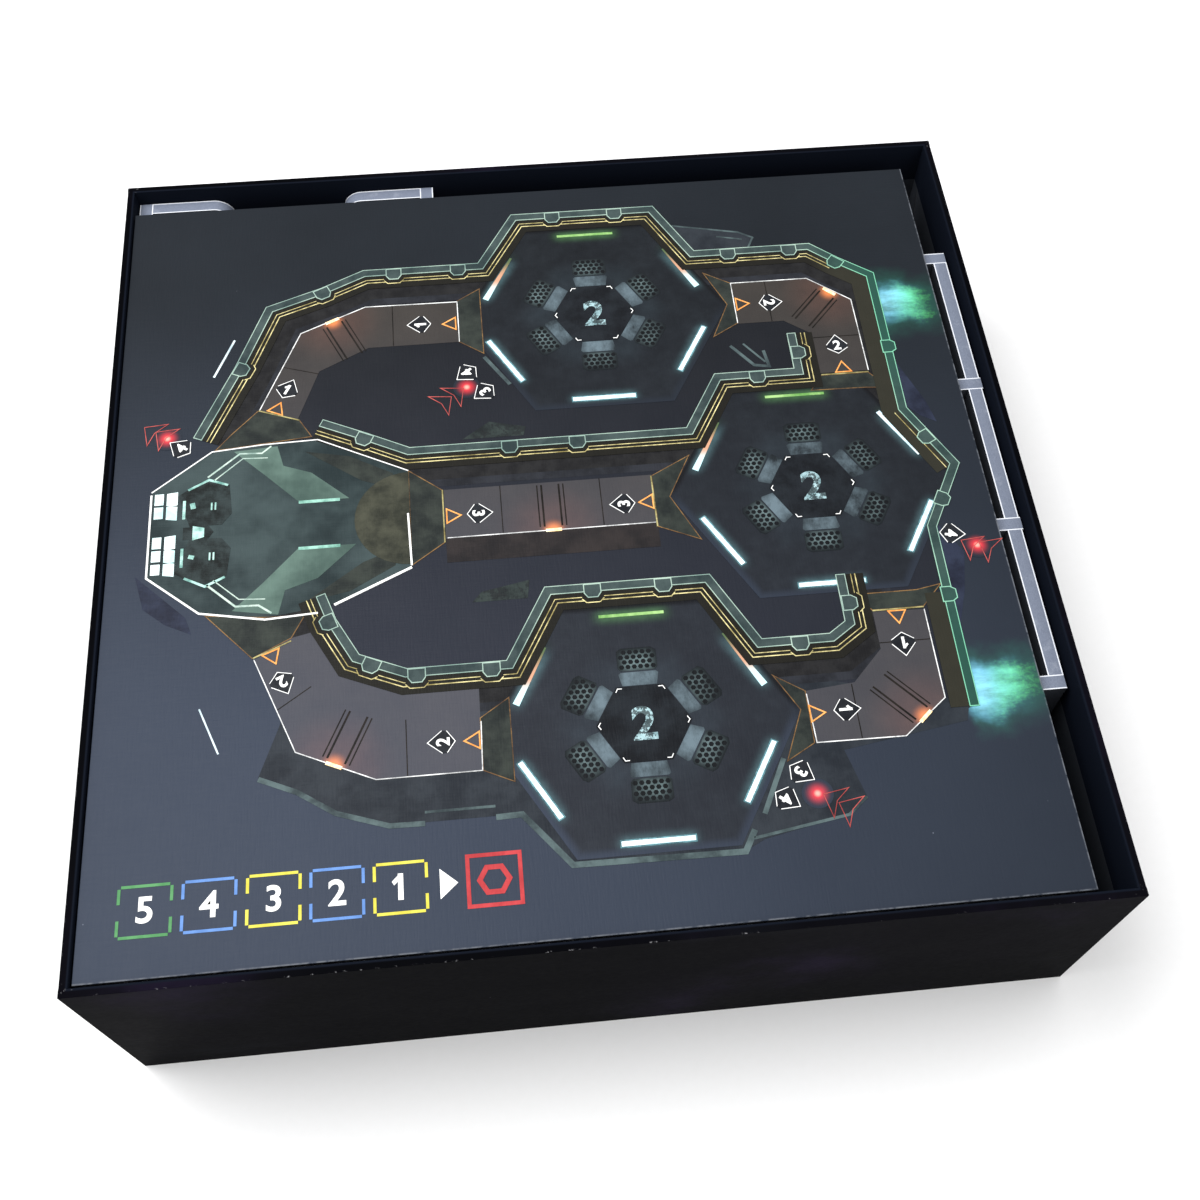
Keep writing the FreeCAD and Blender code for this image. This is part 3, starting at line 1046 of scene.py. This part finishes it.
deck_plates = [
    [(-99, 43.3), (-85.7, 75), (-63.7, 85), (-32, 84.7), (-32, 66.8), (-62.8, 66.8), (-79.5, 58),
     (-86.7, 38)],
    [(64, 85), (91, 85), (105, 74), (105.3, 42.5), (88.7, 42.5), (88.7, 60), (80, 66.5), (64, 66.5)],
    [(-40, 6), (27, 6), (27, -12.6), (-40, -12.6)],
    [(-99, -50.5), (-86.5, -82), (-63.5, -92.7), (-33, -92.7), (-32.6, -64), (-55, -64),
     (-71.5, -57), (-79.5, -42), (-88, -44)],
    [(64.5, -93), (91, -93.3), (105, -82), (105, -51.5), (89, -51), (89, -64), (79, -74.5), (64, -76)],
]
stamp("corridor_decks", deck_plates, 2, deck_ink)
stamp("corridor_skirt", [[(-40, -12.6), (27, -12.6), (27, -21.5), (-40, -21.5)]], 2, skirt_ink)

ribs = []
for lamp_x, lamp_y, turn in deck_lamps:
    inward = turn - 90 if lamp_y > 0 else turn + 90
    for side in (-4.2, -2.8, 2.8, 4.2):
        rib = placed([(1.5, side), (17.5, side)], (lamp_x, lamp_y, inward))
        ribs.append(ribbon(rib, 0.4 if abs(side) > 3 else 0.6))
seams = [[(-54.4, 85), (-54.4, 67)], [(-92.2, 61), (-79.8, 57)], [(-22, 6), (-22, -12)],
         [(10, 6), (10, -12)], [(76, 85), (76, 66.6)], [(89, 58), (105, 58)],
         [(-54.5, -92.7), (-54.5, -74.5)], [(-92, -68), (-82, -61)], [(78, -93), (78, -75)],
         [(89, -62), (105, -62)]]
stamp("corridor_ribs", ribs + [ribbon(seam, 0.3) for seam in seams], 3, rib_ink)

sills = [
    [(-32, 85), (-24, 90), (-24, 61), (-32, 66.8)],
    [(64, 85), (55, 90.5), (61.5, 75.5), (55, 61.5), (64, 66.8)],
    [(-51, 14.5), (-40.5, 6), (-40.5, -14), (-51, -21.5)],
    [(27, 5.5), (40, 12.5), (32, -3), (40, -20), (27, -14)],
    [(89, 41.5), (105, 41.5), (111, 34.5), (103, 35.2), (84.5, 35.5)],
    [(-32.8, -76), (-24, -70), (-24, -97), (-32.8, -92.7)],
    [(63.8, -76), (55, -70), (61.5, -82), (55, -98), (63.8, -93)],
    [(89, -50.5), (105, -50.5), (112, -43), (104, -44.5), (84, -44.5)],
    [(-99.5, 43), (-108, 34), (-113, 28), (-97, 29.5), (-82, 31), (-86, 38)],
    [(-99.5, -50), (-114, -34), (-97, -36), (-84, -36.5), (-88, -44)],
]
stamp("corridor_sills", sills, 2.6, sill_ink)
sill_lines = [line for sill in sills for line in frame_of(sill, 0.3)]
stamp("sill_lines", sill_lines, 3.4, rust_line_ink)

side_lines = [
    deck_plates[0][:5],
    [(64, 66.8), *deck_plates[1][:4]],
    [(-39.5, -12.4), (26.5, -12.4)],
    [*deck_plates[3][:4], (-32.6, -77)],
    [(64, -77), *deck_plates[4][:4]],
]
stamp("corridor_side_lines", [ribbon(line, 0.30) for line in side_lines], 4, line_ink)
door_lines = [[(-40.4, 6), (-40.4, -14)], [(26.8, 5.5), (26.8, -14)], [(89, 41.7), (105.2, 41.7)],
              [(89, -50.7), (105, -50.7)], [(-99.3, 43), (-86, 38)], [(-99.3, -50), (-88, -45)]]
stamp("corridor_door_lines", [ribbon(line, 0.42) for line in door_lines], 5, gold_line_ink)
deck_lamp = slab((0, 0), deck_lamp_length, deck_lamp_width)
stamp("deck_lamps", [placed(deck_lamp, place) for place in deck_lamps], 6, amber_ink)


# ---- board print: bridge -------------------------------------------------------------------
# The long room at the left: a teal deck with pale chevrons, a round landing by its door, and a
# row of bright window panes behind two dark consoles.
deck_outline = [(-132.5, 13), (-114, 27.5), (-97.5, 29), (-80, 29.5), (-51, 14.5), (-51, -21.5),
                (-76, -33.5), (-96, -36.3), (-116, -33), (-132.5, -19)]
bridge_ink = ink("bridge_ink", (0.010, 0.018, 0.020), (0.036, 0.054, 0.056), 0.030)
chevron_ink = ink("chevron_ink", (0.040, 0.070, 0.060), (0.090, 0.145, 0.122), 0.022)
glint_ink = ink("glint_ink", (0.10, 0.24, 0.19), (0.30, 0.55, 0.46), 0.006)
landing_ink = ink("landing_ink", (0.016, 0.018, 0.013), (0.050, 0.052, 0.036), 0.010)
pale_rim_ink = ink("pale_rim_ink", (0.22, 0.33, 0.29), (0.52, 0.62, 0.55), 0.008, 0.1)
pane_ink = ink("pane_ink", (0.40, 0.62, 0.62), (0.88, 0.97, 0.96), 0.007)
console_ink = ink("console_ink", (0.004, 0.006, 0.006), (0.022, 0.032, 0.033), 0.005)
screen_ink = ink("screen_ink", (0.10, 0.24, 0.21), (0.42, 0.66, 0.60), 0.004)

stamp("bridge_deck", [deck_outline], 3, bridge_ink)
side_plates = [[(-84, 25), (-70, 22), (-56, 14), (-56, 8), (-66, 12)],
               [(-84, -32), (-70, -29), (-56, -21), (-56, -15), (-66, -19)]]
stamp("bridge_plates", side_plates, 4, sill_ink)
chevrons = [[(-107, 27), (-93, 28), (-91, 20), (-82, 16.5), (-70, 5.5), (-86, 5.5), (-97, 17)],
            [(-106, -33), (-92, -35.5), (-90, -27), (-80, -23.5), (-68, -12), (-86, -12), (-97, -24)]]
stamp("bridge_chevrons", chevrons, 4, chevron_ink)
glints = [ribbon([(-86, level), (-73, level)], 1.1) for level in (5.3, -12.2)]
stamp("bridge_glints", glints, 5, glint_ink)
landing_radius = 17.5
landing_turns = [math.radians(9 * i) for i in range(-10, 11)]
landing = [(-51 - landing_radius * math.cos(turn), -3.5 + landing_radius * math.sin(turn))
           for turn in landing_turns]
stamp("bridge_landing", [landing], 5, landing_ink)
consoles = [[(-124, 11), (-117, 16), (-108, 14), (-107, 3), (-110, -1), (-120, -1)],
            [(-120, -6), (-110, -6), (-107, -10), (-108, -20), (-117, -23), (-124, -18)],
            [(-122, -1.2), (-114, -1.2), (-112.5, -3.5), (-114, -5.8), (-122, -5.8)]]
stamp("bridge_consoles", consoles, 4.5, console_ink)
monitor = [(-119.8, 0.4), (-114.6, -1.0), (-114.6, -6.0), (-119.8, -7.4)]
stamp("bridge_monitor", [monitor], 4.8, console_ink)
screens = [[(-119.0, -0.8), (-115.4, -1.8), (-115.4, -5.2), (-119.0, -6.2)],
           slab((-119.3, 6.8), 1.6, 2.2, 0.2), slab((-119.1, -12.4), 1.8, 1.4, -0.3)]
screens += [slab((x, y), 0.5, 2.8) for x in (-113.4, -112.2) for y in (6.2, -12.6)]
console_lights = [([(-121, 13), (-114.5, 16.5), (-108.5, 14)], 0.8),
                  ([(-121, -20), (-114.5, -23.5), (-108.5, -20.5)], 0.8),
                  ([(-122, 9), (-122, 2)], 0.9), ([(-122, -9), (-122, -16)], 0.9)]
screens += [ribbon(points, width) for points, width in console_lights]
stamp("bridge_screens", screens, 5, screen_ink)
panes = []
for low_y, high_y in ((8.0, 12.2), (2.8, 7.2), (-8.4, -4.2), (-13.2, -9.2), (-18.0, -14.2)):
    panes.append([(-131.4, low_y), (-128.6, low_y), (-128.6, high_y), (-131.4, high_y)])
    slanted = [(-127.6, low_y - 0.4), (-124.2, low_y - 1.0), (-124.2, high_y + 0.4), (-127.6, high_y)]
    panes.append(slanted)
stamp("bridge_panes", panes, 4, pane_ink)
rims = [ribbon([(-115, 17.5), (-105, 26), (-98, 25.6), (-95, 28.2)], 0.55),
        ribbon([(-113, 16), (-104, 24), (-96, 23.6)], 0.35),
        ribbon([(-114, -23), (-105, -31.5), (-98, -31.7), (-94, -34.8)], 0.65),
        ribbon([(-112, -21.5), (-104, -29), (-96, -29.6)], 0.35)]
stamp("bridge_rims", rims, 5, pale_rim_ink)
front_edge = [(-80, -36), (-96, -36.9), *deck_outline[8:], (-132.5, 12)]
edge_lines = [ribbon(deck_outline[:5], 0.35), ribbon([(-51.6, -2), deck_outline[5]], 0.6),
              ribbon([(-51, -22.2), (-75, -33.6)], 0.8), ribbon(front_edge, 0.6)]
stamp("bridge_edge", edge_lines, 6, white_ink)


# ---- board print: bulkheads ----------------------------------------------------------------
# Three thick walls seen from above: a grey-green top with pale arrises, a lug clamped over each
# joint, a dark inner face with gilt trim lines, and the wall's shade and dusk on the floor.
wall_width = 2.8
wall_inset = 0.4
face_distance = 3.8
face_width = 6.0
shade_distance = 8.5
dusk_distance = 12.9
dusk_width = 2.8
wall_points = {
    "outer_wall": [(-118.5, 33), (-106, 61), (-96.2, 86.3), (-78.3, 93), (-63.7, 100), (-22.8, 100),
                   (-9.7, 122.3), (39.7, 122.3), (52, 99.4), (94, 99.4), (102.7, 92.2), (113.4, 84.5),
                   (113.2, 25), (125.7, 1.6), (113.3, -21.7), (112.8, -85.5)],
    "upper_wall": [(-79, 35.8), (-64.8, 29), (-50.7, 21.8), (41.8, 21.8), (54, 43.4), (82, 43.4),
                   (82, 60.5)],
    "lower_wall": [(-79.5, -30), (-76.2, -39.5), (-69, -53), (-54, -59.5), (-22.8, -59.5),
                   (-9.5, -35), (39.7, -35), (52.5, -59.2), (75, -59.2), (81.7, -54.5), (81.7, -37)],
}
lug_places = [(-106, 61, 65), (-78.5, 93, 25), (-53.5, 100, 0), (-31, 100, 0), (4, 122.3, 0),
              (26.5, 122.3, 0), (65, 99.4, 0), (87, 99.4, 0), (102.7, 92, -40), (113.3, 52, 90),
              (119.5, 13.2, -62), (118.5, -11.5, 62), (113, -47, 90), (-64.8, 29, -26),
              (-17.8, 21.8, 0), (4.4, 21.8, 0), (67.3, 43.4, 0), (82, 52, 90), (-76.2, -39.5, -70),
              (-64, -55, -25), (-50.8, -59.5, 0), (-28.5, -59.5, 0), (4, -35, 0), (26, -35, 0),
              (65, -59.2, 0), (81.7, -47.3, 90)]
lug = [(-2.6, 1.5), (-2.6, -1.5), (-1.5, -3.1), (1.5, -3.1), (2.6, -1.5), (2.6, 1.5)]
skirt = [(-3.4, -0.5), (-3.4, -3.5), (-2.1, -4.9), (2.1, -4.9), (3.4, -3.5), (3.4, -0.5)]


def bulkhead_print(name, dark, light, tinge):
    """Grey-green enamel, greener where the engine flares shine on it."""
    finish = Print(name)
    x, y, z = finish.axes()
    mottle = finish.noise(0.012, 5, 0.65)
    base = finish.blend(dark, light, mottle.fade(0.30, 0.70))
    near = (y - flares[0][1]).size().least((y - flares[1][1]).size()).fade(64.0, 8.0)
    base = finish.blend(base, tinge, x.fade(84.0, 116.0) * (near * 0.7 + 0.15) * (0.5 + mottle))
    return finish.printed(base)


def wall_face_print():
    """Black-brown enamel in shadow, olive where the flares reach it at the right."""
    finish = Print("wall_face_print")
    x, y, z = finish.axes()
    mottle = finish.noise(0.006, 4, 0.65)
    base = finish.blend((0.0045, 0.0045, 0.0035), (0.012, 0.011, 0.008), mottle)
    base = finish.glow(base, (0.012, 0.012, 0.008), x.fade(92.0, 102.0))
    return finish.printed(base)


wall_top_ink = bulkhead_print("wall_top_print", (0.017, 0.029, 0.031), (0.048, 0.070, 0.069),
                              (0.012, 0.062, 0.044))
wall_arris_ink = bulkhead_print("wall_arris_print", (0.16, 0.25, 0.22), (0.38, 0.50, 0.42),
                                (0.14, 0.48, 0.30))
wall_face_ink = wall_face_print()
trim_ink = ink("trim_ink", (0.22, 0.18, 0.06), (0.74, 0.66, 0.32), 0.005, 0.12)
shade_ink = ink("shade_ink", (0.006, 0.006, 0.007), (0.014, 0.014, 0.015), 0.006)
dusk_ink = ink("dusk_ink", (0.008, 0.009, 0.012), (0.019, 0.021, 0.027), 0.010)


def trim_lines(points):
    """The two gilt lines along a wall's face."""
    return [ribbon(beside(points, 2.9), 0.26), ribbon(beside(points, 4.2), 0.32)]


faces = []
shades = []
dusks = []
trims = []
tops = []
arrises = []
for name, points in wall_points.items():
    tops.append(ribbon(beside(points, -wall_inset), wall_width))
    arrises += frame_of(tops[-1], 0.26)
    shown, gilded = points, points
    if name == "outer_wall":
        # Seen from inside, its face ends at the right-hand tip, and its gilt a little before.
        shown, gilded = points[:14], points[:11]
    faces.append(ribbon(beside(shown, face_distance), face_width))
    shades.append(ribbon(beside(shown, shade_distance), face_width))
    dusks.append(ribbon(beside(shown, dusk_distance), dusk_width))
    trims += trim_lines(gilded)
trims.append(ribbon(beside(wall_points["outer_wall"][12:14], 2.9), 0.26))
faces.append(ribbon(beside([(113.1, -46), (112.8, -85.5)], face_distance), face_width))
wall_parts = [("face", faces, 4.5, wall_face_ink), ("shade", shades, 1.4, shade_ink),
              ("dusk", dusks, 1.2, dusk_ink), ("trim", trims, 5, trim_ink), ("top", tops, 6, wall_top_ink)]
for part, outlines, step, material in wall_parts:
    for number, outline in enumerate(outlines, 1):
        stamp("bulkhead_" + part + "_" + str(number), [outline], step, material)
stamp("bulkhead_arrises", arrises, 7, wall_arris_ink)
gilt_places = [place for place in lug_places if place[0] < 100]
skirts = [placed(skirt, place) for place in gilt_places]
skirt_trims = [ribbon(outline[1:5], 0.28) for outline in skirts]
lugs = [placed(lug, place) for place in lug_places]
lug_edges = [line for outline in lugs for line in frame_of(outline, 0.30)]
stamp("bulkhead_lug_skirts", skirts, 5.3, wall_face_ink)
stamp("bulkhead_skirt_trims", skirt_trims, 5.6, trim_ink)
stamp("bulkhead_lugs", lugs, 7.5, wall_top_ink)
stamp("bulkhead_lug_edges", lug_edges, 8, wall_arris_ink)


# ---- board print: numbered tags, arrows and beacons ----------------------------------------
# White kites with a digit and amber arrow heads mark the corridor ends; pairs of red darts fly
# past the four beacons outside the rooms, with a kite or two beside each.
tag_ground_ink = ink("tag_ground_ink", (0.006, 0.007, 0.010), (0.014, 0.016, 0.020), 0.004)
tag_places = [("1", (-45, 75.5, 90)), ("1", (-90, 51, -27)), ("3", (-29.3, -4, -90)),
              ("3", (17, -4.5, 90)), ("2", (76.3, 75, -90)), ("2", (96.5, 54, 0)),
              ("2", (-44, -82.7, 90)), ("2", (-90.5, -58.7, 204)), ("1", (96.3, -62.6, 180)),
              ("1", (74.8, -83.2, -90)), ("4", (-124, 29.8, 55)), ("4", (-30, 53.0, 126)),
              ("3", (-24.6, 44.6, 126)), ("4", (119.2, -25.0, -100)), ("3", (58.2, -101.8, -127)),
              ("4", (52.8, -109.6, -127))]
tag_size = 4.5
tag_line = 0.21
digit_height = 4.0
kite_nose = [(-0.80 * tag_size, 0.05 * tag_size), (0.0, tag_size), (0.80 * tag_size, 0.05 * tag_size)]
kite_tail = [(-0.78 * tag_size, -0.26 * tag_size), (0.0, -0.80 * tag_size),
             (0.78 * tag_size, -0.26 * tag_size)]
digit_flag = [(-1.35, 0.75), (-0.15, 1.95), (0.15, 1.15), (-1.0, 0.2)]
sides = []
grounds = []
for digit, place in tag_places:
    nose = placed(kite_nose, place)
    tail = placed(kite_tail, place)
    grounds.append(nose + tail[::-1])
    sides += [ribbon(nose, tag_line), ribbon(tail, tag_line)]
stamp("tag_grounds", grounds, 5, tag_ground_ink)
stamp("tag_frames", sides, 6, white_ink)
for number, (digit, place) in enumerate(tag_places, 1):
    turn = math.radians(place[2])
    numeral("tag_digit_" + str(number), digit, place[:2], digit_height, turn, 7, white_ink, 0.028)
    if digit == "1":
        stamp("tag_flag_" + str(number), [placed(digit_flag, place)], 7.3, white_ink)

arrow_ink = ink("arrow_ink", (0.62, 0.23, 0.05), (0.88, 0.40, 0.12), 0.004)
arrow_places = [(-34.8, 75, 180), (-93.2, 43.4, 65), (-37.5, -4.2, 0), (24.5, -4.4, 180),
                (66.6, 75.2, 0), (96.8, 44.3, 90), (-35.2, -83, 180), (-93.4, -50, -68),
                (96.4, -53.2, -90), (66, -83.6, 0)]
arrow_head = [(2.6, 0.0), (-1.9, 2.7), (-1.9, -2.7)]
arrows = [line for place in arrow_places for line in frame_of(placed(arrow_head, place), 0.42)]
stamp("corridor_arrows", arrows, 5.4, arrow_ink)

beacons = [(-128.6, 34.2), (-30.5, 47.0), (126.6, -30.0), (62.0, -108.8)]
beacon_glow = 4.6


def beacon_print():
    """Sky with a red lamp's glow, hot at its heart."""
    finish, base, x, y = open_sky("beacon_print")
    for beacon_x, beacon_y in beacons:
        reach = ((x - beacon_x) ** 2.0 + (y - beacon_y) ** 2.0) ** 0.5
        base = finish.glow(base, (0.62, 0.02, 0.025), reach.fade(beacon_glow, 0.2) ** 1.6)
        base = finish.glow(base, (0.5, 0.30, 0.22), reach.fade(1.4, 0.2))
    return finish.printed(base)


stamp("beacon_lamps", [regular(beacon, beacon_glow, 40) for beacon in beacons], 2, beacon_print())
dart_ink = ink("dart_ink", (0.22, 0.035, 0.035), (0.46, 0.095, 0.085), 0.008, 0.08)
dart = [(0.0, 0.0), (-5.6, 5.2), (-4.3, 0.0), (-5.6, -5.2)]
dart_places = [(-132.5, 37.2, 142), (-136.3, 39.5, 142), (-31.6, 46.6, 38), (-35.8, 43.4, 38),
               (121.8, -27.9, 143), (127.3, -29.1, 143), (63.6, -109.2, 147), (67.6, -112.2, 147)]
for number, place in enumerate(dart_places, 1):
    outlines = frame_of(placed(dart, place), 0.24)
    stamp("beacon_dart_" + str(number), outlines, 3 + number % 2, dart_ink)


# ---- board print: countdown track ----------------------------------------------------------
# Five numbered squares with coloured brackets run down to a white arrow and a red square, which
# holds a plain hexagon.
track_y = -125.6
track_size = 15.2
bracket_width = 0.85
bracket_reach = 4.4
corner_gap = 0.95
green_ink = ink("track_green_ink", (0.055, 0.19, 0.070), (0.085, 0.25, 0.10), 0.006)
blue_ink = ink("track_blue_ink", (0.085, 0.18, 0.42), (0.12, 0.24, 0.53), 0.006)
yellow_ink = ink("track_yellow_ink", (0.50, 0.44, 0.050), (0.64, 0.58, 0.085), 0.006)
red_ink = ink("red_ink", (0.33, 0.030, 0.034), (0.46, 0.050, 0.055), 0.008)
track = [("5", -127.0, green_ink), ("4", -109.6, blue_ink), ("3", -92.1, yellow_ink),
         ("2", -74.8, blue_ink), ("1", -57.4, yellow_ink)]
half_square = (track_size - bracket_width) / 2
for digit, middle_x, colour in track:
    brackets = []
    for flip in (1, -1):
        level = track_y + flip * half_square
        brackets.append(slab((middle_x, level), track_size - 2 * corner_gap, bracket_width))
        for side in (-1, 1):
            upright = (middle_x + side * half_square, level - flip * (corner_gap + bracket_reach) / 2)
            brackets.append(slab(upright, bracket_width, bracket_reach))
    stamp("track_bracket_" + digit, brackets, 2, colour)
    numeral("track_digit_" + digit, digit, (middle_x, track_y + 0.3), 7.6, 0.0, 2, white_ink, 0.02)
    if digit == "1":
        flag = [(-2.4, 1.9), (-0.3, 4.0), (0.2, 2.7), (-1.8, 0.8)]
        stamp("track_flag", [placed(flag, (middle_x, track_y, 0))], 2.3, white_ink)
arrow = [(-46.6, track_y + 4.4), (-41.6, track_y), (-46.6, track_y - 4.4)]
stamp("track_arrow", [arrow], 2, white_ink)
end_middle = (-31.5, track_y)
end_square = frame_of(slab(end_middle, 14.6, 14.6), 1.15)
end_mark = [regular(end_middle, radius, 6) for radius in (5.0, 3.3)]
stamp("track_end_square", end_square, 2, red_ink)
stamp("track_end_mark", end_mark, 2, red_ink)
